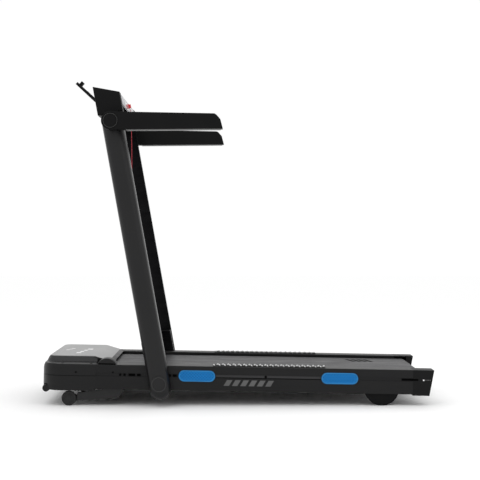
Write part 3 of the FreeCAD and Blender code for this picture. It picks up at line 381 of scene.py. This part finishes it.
def refined(node, width, segments=3, angle=32, finish=None):
    """A merged copy of a CAD node with its hard edges rounded, which stands for that node."""
    bm = bmesh.new()
    bm.from_mesh(NODES[node].data)
    merge_cad(bm)
    crisp(bm, angle)
    mesh = bpy.data.meshes.new(f"{node}_finished")
    bm.to_mesh(mesh)
    bm.free()
    piece = bpy.data.objects.new(mesh.name, mesh)
    bpy.context.scene.collection.objects.link(piece)
    mesh.materials.append(finish or FINISH[SLOTS[node]])
    rounding = piece.modifiers.new("rounding", "BEVEL")
    rounding.width = width
    rounding.segments = segments
    rounding.limit_method = "ANGLE"
    rounding.angle_limit = radians(30)
    rounding.harden_normals = True
    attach(piece, BODY_OF[node])
    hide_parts(node)
    return piece


SIDES = (("left", -1), ("right", 1))
PAD_LONG = 150 * MM             # one oval pad, end to end
HOOD_RIDGE = 245 * MM           # half the width of the hood's raised middle
HEAD_FALL = 40 * MM             # from the head's front peak down to its rear edge
# each dark vent in a rail's groove, in mm: where it starts along the rail, and how long it is
VENTS = ((-487, 8), (-470, 9), (-449, 27), (-415, 15), (-286, 11), (-268, 16))


def mirrored(side, near, far):
    """A stretch of Y on one side of the middle, lowest first."""
    return (near, far) if side > 0 else (-far, -near)


# ---------------------------------------------------------------- deck, rails and their trim
def side_rims(bm):
    """The edges round the two flat sides of a shape pulled along Y."""
    return [edge for edge in bm.edges if abs((edge.verts[0].co - edge.verts[1].co).y) < 1e-6]


def arc_block(name, node, below, finish, round_by):
    """A flat-sided slice of a disc: its straight edge at one end, its arc at the other."""
    low, high = span(node)
    half, tall = (high.x - low.x) / 2, high.z - low.z
    radius = (half * half + tall * tall) / (2 * tall)
    reach = asin(min(1.0, half / radius))
    middle = (low.x + high.x) / 2
    steps = 64
    outline = []
    for i in range(steps + 1):
        turn = -reach + 2 * reach * i / steps
        depth = radius * cos(turn) - radius + tall
        outline.append((middle + radius * sin(turn), high.z - depth if below else low.z + depth))
    bm = bmesh.new()
    prism(bm, outline, low.y, high.y)
    bmesh.ops.bevel(bm, geom=side_rims(bm), offset=round_by, offset_type="OFFSET", affect="EDGES",
                    segments=3, profile=0.5, material=-1)
    finish_piece(name, bm, DECK, "base", finish, (node,))


def rails():
    """The rails with their end caps, hinge towers and feet, the low dome, and the board."""
    for tag, _ in SIDES:
        refined(f"side_rail_{tag}", 1.2 * MM)
        refined(f"rail_end_cap_{tag}", 1.0 * MM, finish=CAP_BLACK)
        refined(f"hinge_tower_{tag}", 1.5 * MM)
        arc_block(f"foot_disc_{tag}", f"rear_foot_{tag}", True, FINISH["moulded_black"], 2 * MM)
    arc_block("dome_cover", "rail_dome", False, HOOD_BLACK, 4 * MM)
    refined("deck_board", 1.0 * MM)


def cushion_pads():
    """Each pad is an oval with a raised rim round a sunken, dimpled field; the rim is a lighter blue, a painted
    highlight.
    """
    for tag, side in SIDES:
        low, high = span(f"cushion_pads_{tag}")
        radius = (high.z - low.z) / 2
        thick = high.y - low.y
        bm = bmesh.new()
        for middle in (low.x + PAD_LONG / 2, high.x - PAD_LONG / 2):
            verts = []
            for end, start in ((1, -90), (-1, 90)):
                centre = middle + end * (PAD_LONG / 2 - radius)
                for step in range(17):
                    turn = radians(start + step * 180 / 16)
                    verts.append(bm.verts.new((centre + radius * cos(turn), 0,
                                               (low.z + high.z) / 2 + radius * sin(turn))))
            back = bm.faces.new(verts)
            # the back, the sides and the rim take the lighter rim blue, a painted highlight; the field goes back
            # to the pad's blue below
            back.material_index = 1
            pulled = bmesh.ops.extrude_face_region(bm, geom=[back], use_keep_orig=True)["geom"]
            cap = [g for g in pulled if isinstance(g, bmesh.types.BMFace)][0]
            bmesh.ops.translate(bm, vec=(0, side * thick * 0.55, 0), verts=list(cap.verts))
            # the rim's outer bevel, its top, its inner bevel, and the crown of the field
            for inset, rise in ((1.2, 0.45), (2.4, 0.0), (1.2, -0.35), (6.0, 0.2)):
                if rise > 0 and inset > 2:
                    cap.material_index = 0
                bmesh.ops.inset_region(bm, faces=[cap], thickness=inset * MM, use_even_offset=True)
                bmesh.ops.translate(bm, vec=(0, side * thick * rise, 0), verts=list(cap.verts))
        against_rail = low.y if side > 0 else high.y
        bmesh.ops.translate(bm, vec=(0, against_rail, 0), verts=bm.verts)
        pads = finish_piece(f"pad_pair_{tag}", bm, DECK, "base", FINISH["pad_blue"],
                            (f"cushion_pads_{tag}",), 60)
        pads.data.materials.append(PAD_RIM_PAINTED_HIGHLIGHT)


def grip_strips():
    """A dark base with two staggered rows of metal teeth that lean opposite ways."""
    for tag, _ in SIDES:
        low, high = span(f"grip_strip_{tag}")
        bm = bmesh.new()
        block(bm, low, (high.x, high.y, low.z + 2.6 * MM), 1.2 * MM)
        finish_piece(f"grip_base_{tag}", bm, DECK, "base", FINISH["grip_grey"],
                     (f"grip_strip_{tag}",))
        bm = bmesh.new()
        count, rows, margin = 21, 2, 6 * MM
        pitch, tall = (high.x - low.x - 2 * margin) / (count - 0.5), high.z - low.z
        for row in range(rows):
            y = low.y + (high.y - low.y) * (row + 0.5) / rows
            start = low.x + margin + 0.5 * row * pitch
            lean = (2 * row - 1) * 3 * MM
            for i in range(count):
                x = start + i * pitch
                outline = [(x - 3 * MM, low.z + 2.2 * MM), (x + 3 * MM, low.z + 2.2 * MM),
                           (x + 2.2 * MM + lean, low.z + tall), (x - 2.2 * MM + lean, low.z + tall)]
                prism(bm, outline, y - 9 * MM, y + 9 * MM)
        finish_piece(f"grip_teeth_{tag}", bm, DECK, "base", GRIP_METAL)


def slanted(bm, x, wide, base, top, slant, face):
    """A leaning bar on a side face, sized in millimetres."""
    prism(bm, [(x * MM, base * MM), ((x + wide) * MM, base * MM),
               ((x + wide + slant) * MM, top * MM), ((x + slant) * MM, top * MM)], *face)


def rail_marks():
    """The groove's lighter band, a painted highlight, and a dark strip under it, painted shade; generic slanted
    bars, dark vents and slots, and a belt marker.
    """
    for tag, side in SIDES:
        low, high = span(f"side_rail_{tag}")
        pad_low, pad_high = span(f"cushion_pads_{tag}")
        end_low = span(f"rail_end_cap_{tag}")[0]
        outer = high.y if side > 0 else low.y
        groove = (pad_low.z + pad_high.z) / 2
        sunk = sorted((outer - side * 2.95 * MM, outer - side * 1.2 * MM))
        face = sorted((outer - side * 0.1 * MM, outer + side * 0.25 * MM))
        proud = sorted((outer - side * 2.9 * MM, outer + side * 0.3 * MM))
        # a lighter band sunk in the groove between the pads: a painted highlight
        band = bmesh.new()
        start, stop = pad_low.x + PAD_LONG + 2 * MM, pad_high.x - PAD_LONG - 2 * MM
        block(band, (start, sunk[0], groove - 4 * MM), (stop, sunk[1], groove + 6.5 * MM), 0.5 * MM)
        finish_piece(f"groove_highlight_band_{tag}", band, DECK, "base", GROOVE_PAINTED_HIGHLIGHT)
        bars = bmesh.new()
        for i in range(6):
            slanted(bars, -60 + 34 * i, 22, 82, 106, 14, face)
        finish_piece(f"rail_bars_{tag}", bars, DECK, "base", MARK_GREY)
        dark = bmesh.new()
        # a black strip along the groove's lower edge: painted shade in the groove
        block(dark, (start, sunk[0], groove - 6.8 * MM), (stop, sunk[1], groove - 4.4 * MM))
        block(dark, (end_low.x - 46 * MM, proud[0], groove - 4 * MM),
              (end_low.x + 22 * MM, proud[1], groove + 4 * MM), 0.3 * MM)
        for x, wide in VENTS:
            block(dark, (x * MM, proud[0], groove - 4.5 * MM),
                  ((x + wide) * MM, proud[1], groove + 4.5 * MM), 0.8 * MM)
        disc(dark, (112 * MM, groove + 1 * MM), 5 * MM, *proud)
        disc(dark, (low.x + 72 * MM, groove + 9 * MM), 3.4 * MM, *proud)
        disc(dark, (low.x - 79 * MM, groove + 7.5 * MM), 4 * MM, *proud)
        finish_piece(f"rail_slots_{tag}", dark, DECK, "base", SLOT_BLACK)
        light = bmesh.new()
        mark_x = end_low.x + 44 * MM
        disc(light, (mark_x, groove - 1 * MM), 3.2 * MM, *face)
        finish_piece(f"belt_marker_{tag}", light, DECK, "base", MARK_WHITE)
        dim = bmesh.new()
        for i in range(4):
            block(dim, (mark_x + (7 + 6 * i) * MM, face[0], groove - 2.4 * MM),
                  (mark_x + (10.5 + 6 * i) * MM, face[1], groove + 1.6 * MM))
        finish_piece(f"marker_ticks_{tag}", dim, DECK, "base", MARK_GREY)


def running_belt():
    """The belt, with four plain slanted strokes near its rear end."""
    refined("running_belt", 0.4 * MM, 2, 40)
    top = span("running_belt")[1]
    marks = bmesh.new()
    near, far, wide, slant = 75 * MM, 165 * MM, 16 * MM, 28 * MM
    for i in range(4):
        x = top.x - (262 - 26 * i) * MM
        prism(marks, [(x, near), (x + wide, near), (x + wide - slant, far), (x - slant, far)],
              top.z - 0.05 * MM, top.z + 0.12 * MM, "z")
    finish_piece("belt_chevrons", marks, DECK, "base", SLOT_BLACK)


# ---------------------------------------------------------------- hood
def plan_line(front, half, corner, brow, rear, level, fall):
    """A line round the hood seen from above, open at the rear, which drops by fall past the brow."""
    steps = 14
    spots = [Vector((rear, -half, level - fall)), Vector((brow, -half, level))]
    for start, middle_y in ((-90, -half + corner), (180, half - corner)):
        for i in range(steps + 1):
            turn = radians(start - 90 * i / steps)
            spots.append(Vector((front + corner + corner * cos(turn),
                                 middle_y + corner * sin(turn), level)))
    return spots + [Vector((brow, half, level)), Vector((rear, half, level - fall))]


def skin(bm, lines):
    """Faces between each open line and the next, then a lid on the last one."""
    rows = [[bm.verts.new(spot) for spot in line] for line in lines]
    for below, above in zip(rows, rows[1:]):
        for i in range(len(below) - 1):
            bm.faces.new((below[i], below[i + 1], above[i + 1], above[i]))
        bm.faces.new((below[-1], below[0], above[0], above[-1]))
    bm.faces.new(rows[-1][1:-1])
    bm.faces.new((rows[-1][0], rows[-1][1], rows[-1][-2], rows[-1][-1]))


def hood():
    """A moulded cover whose ledge runs out into its front corners, with a silver panel on top."""
    refined("hood_base", 1.6 * MM, finish=HOOD_BLACK)
    low, high = span("hood_top")
    rail_low, rail_high = span("side_rail_left")
    front, top, ledge, seam = low.x, high.z, rail_high.z, low.z
    half, ridge = high.y, HOOD_RIDGE
    brow, joint, lip = rail_low.x - 12 * MM, rail_low.x, high.x - 15 * MM
    lip_top = ledge + 8 * MM
    fall = top - lip_top
    joint_fall = fall * (joint - brow) / (lip - brow)
    # each line: set back from the front, half width, corner radius, height, fall at the joint
    lines = ((2, half - 2 * MM, 83, seam, 0),
             (0, half, 85, seam + 2 * MM, 0),
             (0, half, 85, seam + 26 * MM, 0),
             (1.5, half - 0.6 * MM, 84, ledge - 12 * MM, 0),
             (5, half - 1.6 * MM, 82, ledge - 3 * MM, 0),
             (8, half - 4 * MM, 78, ledge + 0.5 * MM, 0),
             (9, ridge + 9 * MM, 52, ledge + 2 * MM, 0),
             (10, ridge + 4 * MM, 48, ledge + 4 * MM, 0),
             (13, ridge + 1 * MM, 44, ledge + 11 * MM, 0),
             (18, ridge - 2 * MM, 40, top - 5 * MM, joint_fall),
             (21, ridge - 4 * MM, 37, top - 1 * MM, joint_fall),
             (24, ridge - 7 * MM, 34, top, joint_fall))
    shape = bmesh.new()
    skin(shape, [plan_line(front + back * MM, wide, corner * MM, brow, joint, level, drop)
                 for back, wide, corner, level, drop in lines])
    cover = finish_piece("hood_cover", shape, DECK, "base", HOOD_BLACK,
                         ("hood_top",), 25)
    cover.data.materials.append(HOOD_TOP_PAINTED_LIGHT)
    # faces above the ledge take the lighter black, painted light falling on the hood's top
    to_deck = DECK.inverted()
    for face in cover.data.polygons:
        face.material_index = 1 if (to_deck @ face.center).z > ledge else 0
    tail = bmesh.new()
    prism(tail, [(brow - 2 * MM, ledge), (brow - 2 * MM, top), (brow, top), (lip, lip_top),
                 (lip + 14 * MM, ledge + 0.6 * MM), (lip + 14 * MM, ledge)],
          -ridge + 2 * MM, ridge - 2 * MM)
    bmesh.ops.bevel(tail, geom=side_rims(tail), offset=5 * MM, offset_type="OFFSET",
                    affect="EDGES", segments=4, profile=0.5, material=-1)
    finish_piece("hood_tail", tail, DECK, "base", HOOD_BLACK)
    panel = bmesh.new()
    skin(panel, [plan_line(front + 24 * MM + inset, ridge - 6 * MM - inset, 32 * MM, brow,
                           lip - 2 * MM - inset, top + rise, fall)
                 for inset, rise in ((0, -1 * MM), (0, 0.8 * MM), (1 * MM, 1.6 * MM))])
    finish_piece("hood_panel", panel, DECK, "base", HOOD_SILVER)
    icons = bmesh.new()
    face = (top + 1.5 * MM, top + 1.75 * MM)
    for i, long in enumerate((20, 15, 15, 22)):
        x, y = front + (119 + 10 * i) * MM, (-140 + 52 * i) * MM
        block(icons, (x, y, face[0]), (x + long * MM, y + 36 * MM, face[1]))
    for i in range(3):
        x, y = front + (60 + 9 * i) * MM, (-20 + 30 * i) * MM
        block(icons, (x, y, face[0]), (x + 14 * MM, y + 20 * MM, face[1]))
    finish_piece("hood_bars", icons, DECK, "base", MARK_WHITE)
    refined("power_inlet", 0.8 * MM)
    refined("power_switch", 0.8 * MM)


# ---------------------------------------------------------------- wheels and the incline frame
def wheels():
    """Wheels with a grooved tread, a hub and five spokes, and the incline and base frames."""
    for tag, _ in SIDES:
        for node in (f"incline_wheel_{tag}", f"transport_roller_{tag}"):
            low, high = span(node)
            centre = (low + high) / 2
            radius, half = (high.x - low.x) / 2, (high.y - low.y) / 2
            hub = radius * (0.42 if "incline" in node else 0.5)
            bore = (6.2 if "incline" in node else 3.15) * MM
            round_by = half * 0.35
            bm = bmesh.new()
            near_side = [(bore, -half), (hub, -half), (hub, -half * 0.6), (radius * 0.74, -half * 0.6),
                         (radius * 0.78, -half * 0.95), (radius - round_by, -half),
                         (radius - round_by * 0.3, -half + round_by * 0.3),
                         (radius, -half + round_by), (radius, -half * 0.12)]
            far_side = [(r, -y) for r, y in reversed(near_side)]
            turned(bm, near_side + [(radius - 0.9 * MM, 0)] + far_side)
            for k in range(5):
                made = bmesh.ops.create_cube(bm, size=1.0)["verts"]
                bmesh.ops.scale(bm, vec=(radius * 0.34, half * 1.5, radius * 0.09), verts=made)
                bmesh.ops.translate(bm, vec=(radius * 0.6, 0, 0), verts=made)
                bmesh.ops.rotate(bm, cent=(0, 0, 0), matrix=Matrix.Rotation(2 * pi * k / 5, 3, "Y"),
                                 verts=made)
            bmesh.ops.translate(bm, vec=centre, verts=bm.verts)
            finish_piece(f"{node}_turned", bm, DECK, BODY_OF[node], FINISH["wheel_black"],
                         (node,))
    refined("incline_frame", 1.5 * MM, finish=ARM_BLACK)
    refined("base_frame", 0.8 * MM, 2)


# ---------------------------------------------------------------- mast, console, key
def painted_highlight_ring(name, node, side, inset, body):
    """A thin pale ring round a cover: a painted highlight where its edge would catch the light."""
    low, high = span(node)
    radius = (high.z - low.z) / 2 - inset
    face = high.y if side > 0 else -low.y
    sunk, proud = side * (face - 0.6 * MM), side * (face + 0.2 * MM)
    bm = bmesh.new()
    turned(bm, [(radius - 1.3 * MM, sunk), (radius, sunk),
                (radius - 0.4 * MM, proud), (radius - 1.3 * MM, proud)])
    bmesh.ops.translate(bm, vec=((low.x + high.x) / 2, 0, (low.z + high.z) / 2), verts=bm.verts)
    finish_piece(name, bm, DECK, body, RING_PAINTED_HIGHLIGHT)


def handle_grip(tag):
    """The lighter grip let into the underside of an arm, crowned a little below it."""
    node = f"handle_insert_{tag}"
    bm = bmesh.new()
    bm.from_mesh(NODES[node].data)
    merge_cad(bm)
    under = [face for face in bm.faces if face.normal.z < -0.7]
    corners = list({v for face in under for v in face.verts})
    bmesh.ops.translate(bm, vec=(0, 0, -3.5 * MM), verts=corners)
    rim = [edge for edge in bm.edges if sum(face in under for face in edge.link_faces) == 1]
    bmesh.ops.bevel(bm, geom=rim, offset=2 * MM, offset_type="OFFSET", affect="EDGES",
                    segments=4, profile=0.5, material=-1)
    finish_piece(f"grip_insert_{tag}", bm, Matrix.Identity(4), f"handle_{tag}", FINISH["handle_grey"],
                 (node,))


def mast():
    """The uprights with their dark inner faces, the covers, the arms, the head and its panel."""
    for tag, side in SIDES:
        post = refined(f"upright_{tag}", 0.8 * MM, 2, 25)
        post.data.materials.append(INNER_BLACK)
        for face in post.data.polygons:
            face.material_index = 1 if face.normal.y * side < -0.95 else 0
        low, high = span(f"upright_{tag}", MAST)
        inner = low.y if side > 0 else high.y
        seam = bmesh.new()
        y = sorted((inner, inner - side * 0.3 * MM))
        block(seam, (low.x + 3 * MM, y[0], 127 * MM), (low.x + 83 * MM, y[1], 129 * MM))
        finish_piece(f"inner_seam_{tag}", seam, MAST, "mast", MARK_GREY)
        refined(f"pivot_cover_{tag}", 0.8 * MM, finish=FINISH["upright_black"])
        painted_highlight_ring(f"pivot_highlight_ring_{tag}", f"pivot_cover_{tag}", side, 4 * MM, "mast")
        refined(f"handle_{tag}", 2.5 * MM, 4)
        handle_grip(tag)
        refined(f"handle_cap_{tag}", 0.6 * MM)
        painted_highlight_ring(f"cap_highlight_ring_{tag}", f"handle_cap_{tag}", side, 0.2 * MM, f"handle_{tag}")
    refined("console_housing", 2.0 * MM, 4)
    refined("console_panel", 0.6 * MM, finish=PANEL_BLACK)


def console_face():
    """A pale grey bezel flush with the head's cheeks, its tone a painted reflection, two display windows and their
    faint bars.
    """
    low, high = span("console_panel", MAST)
    lens_low, lens_high = span("console_lens", MAST)
    head = span("console_housing", MAST)[1]
    proud = head.x - 0.8 * MM
    # the bezel's pale grey is a painted reflection along the top of the head's face
    bezel = bmesh.new()
    block(bezel, (high.x - 0.2 * MM, low.y + 1 * MM, lens_low.z - 3 * MM),
          (proud, high.y - 1 * MM, head.z - HEAD_FALL), 1.2 * MM)
    finish_piece("display_bezel", bezel, MAST, "mast", BEZEL_PAINTED_REFLECTION)
    windows = bmesh.new()
    for _, side in SIDES:
        y = mirrored(side, 40.2 * MM, lens_high.y)
        block(windows, (high.x - 1 * MM, y[0], lens_low.z),
              (proud + 0.5 * MM, y[1], lens_high.z), 0.4 * MM)
    finish_piece("display_windows", windows, MAST, "mast", FINISH["lens"], ("console_lens",))
    bars = bmesh.new()
    for _, side in SIDES:
        for i in range(9):
            y = side * (60 + 13 * i) * MM
            tall = (6 + 10 * abs(sin(1.1 * i + 0.5))) * MM
            block(bars, (proud + 0.3 * MM, y - 4 * MM, lens_low.z + 4 * MM),
                  (proud + 0.55 * MM, y + 4 * MM, lens_low.z + 4 * MM + tall))
    finish_piece("display_bars", bars, MAST, "mast", DISPLAY_GREY)


def buttons():
    """Round keys, each with its own printed symbol that moves with it."""
    symbols = {"slower": "minus", "stop": "square", "start": "triangle", "faster": "plus"}
    for name, symbol in symbols.items():
        node = f"{name}_button"
        refined(node, 0.7 * MM)
        low, high = span(node, MAST)
        y, z = (low.y + high.y) / 2, (low.z + high.z) / 2
        x = (high.x - 0.1 * MM, high.x + 0.2 * MM)
        bm = bmesh.new()
        if symbol in ("minus", "plus"):
            block(bm, (x[0], y - 4 * MM, z - 0.8 * MM), (x[1], y + 4 * MM, z + 0.8 * MM))
        if symbol == "plus":
            block(bm, (x[0], y - 0.8 * MM, z - 4 * MM), (x[1], y + 0.8 * MM, z + 4 * MM))
        if symbol == "square":
            block(bm, (x[0], y - 3 * MM, z - 3 * MM), (x[1], y + 3 * MM, z + 3 * MM))
        if symbol == "triangle":
            prism(bm, [(y + 4 * MM, z), (y - 3 * MM, z + 4 * MM), (y - 3 * MM, z - 4 * MM)], *x, "x")
        finish_piece(f"{name}_symbol", bm, MAST, name, MARK_WHITE)


def tablet_holder():
    """The holder, with three soft ribs that keep a tablet from sliding."""
    refined("tablet_holder", 2.0 * MM, 4)
    high = span("tablet_holder", HOLDER)[1]
    half = high.y - 14 * MM
    ribs = bmesh.new()
    for i in range(3):
        z = (35 + 22 * i) * MM
        block(ribs, (5.8 * MM, -half, z), (7.2 * MM, half, z + 9 * MM), 0.5 * MM)
    finish_piece("tablet_ribs", ribs, HOLDER, "tablet_holder", FINISH["wheel_black"])


# The cord's own route in mm, the same points that its tube follows.
LANYARD = [(-464, 0, 1246), (-463, 2, 1214), (-461.5, 5, 1160), (-460.5, 8, 1102),
           (-460, 10, 1043), (-460.5, 11, 984), (-461.5, 11, 925), (-463, 10, 866),
           (-465, 8, 807), (-467.5, 5, 749), (-470.5, 1.5, 692), (-474, -2, 640)]


def key_and_cord():
    """The pull-out key, its hanging cord, and the clip at the cord's end."""
    refined("safety_key", 1.2 * MM, 3)
    clip = refined("lanyard_clip", 1.0 * MM)
    points = [Vector(p) * MM for p in LANYARD]
    curve = bpy.data.curves.new("lanyard_cord", "CURVE")
    curve.dimensions = "3D"
    spline = curve.splines.new("NURBS")
    spline.points.add(len(points) - 1)
    for place, spot in zip(spline.points, points):
        place.co = (*spot, 1)
    spline.order_u = 3
    spline.use_endpoint_u = True
    curve.bevel_depth = 1.5 * MM
    curve.bevel_resolution = 4
    curve.resolution_u = 12
    curve.use_fill_caps = True
    cord = bpy.data.objects.new("lanyard_cord", curve)
    bpy.context.scene.collection.objects.link(cord)
    curve.materials.append(FINISH["cord_red"])
    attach(cord, "key")
    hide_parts("lanyard")


# ---------------------------------------------------------------- room, light and camera
def studio():
    """A pale floor under an even sky, with three large soft lights."""
    floor_mesh = bmesh.new()
    bmesh.ops.create_grid(floor_mesh, x_segments=1, y_segments=1, size=14)
    mesh = bpy.data.meshes.new("floor")
    floor_mesh.to_mesh(mesh)
    floor_mesh.free()
    floor = bpy.data.objects.new("floor", mesh)
    bpy.context.scene.collection.objects.link(floor)
    mesh.materials.append(shader("floor_white", (0.985, 0.985, 0.985), 0.9, specular=0.0)[0])
    world = bpy.data.worlds.new("studio")
    bpy.context.scene.world = world
    world.use_nodes = True
    world.node_tree.nodes["Background"].inputs["Color"].default_value = (1, 1, 1, 1)
    world.node_tree.nodes["Background"].inputs["Strength"].default_value = 1.01
    for name, spot, size, power in (("key_light", (-1.6, -2.6, 3.4), 2.4, 15),
                                    ("fill_light", (2.6, -2.2, 2.6), 2.4, 7),
                                    ("back_light", (0.4, 3.0, 3.2), 3.0, 14)):
        lamp = bpy.data.lights.new(name, "AREA")
        lamp.energy = power
        lamp.size = size
        lamp_object = bpy.data.objects.new(name, lamp)
        lamp_object.location = spot
        aim = Vector((0, 0, 0.45)) - Vector(spot)
        lamp_object.rotation_euler = aim.to_track_quat("-Z", "Y").to_euler()
        bpy.context.scene.collection.objects.link(lamp_object)


def camera():
    """A long lens, nearly level and nearly square to the machine's side."""
    lens = bpy.data.cameras.new("camera")
    lens.sensor_width = 36
    lens.lens = 87.8
    viewer = bpy.data.objects.new("camera", lens)
    viewer.location = (-0.032, -5.103, 0.710)
    aim = Vector((sin(radians(0.49)), 1, -sin(radians(0.367))))
    viewer.rotation_euler = aim.to_track_quat("-Z", "Y").to_euler()
    bpy.context.scene.collection.objects.link(viewer)
    bpy.context.scene.camera = viewer
    bpy.context.scene.view_settings.view_transform = "Standard"


camera()
key_and_cord()
rails()
cushion_pads()
grip_strips()
rail_marks()
running_belt()
hood()
wheels()
mast()
console_face()
buttons()
tablet_holder()
studio()
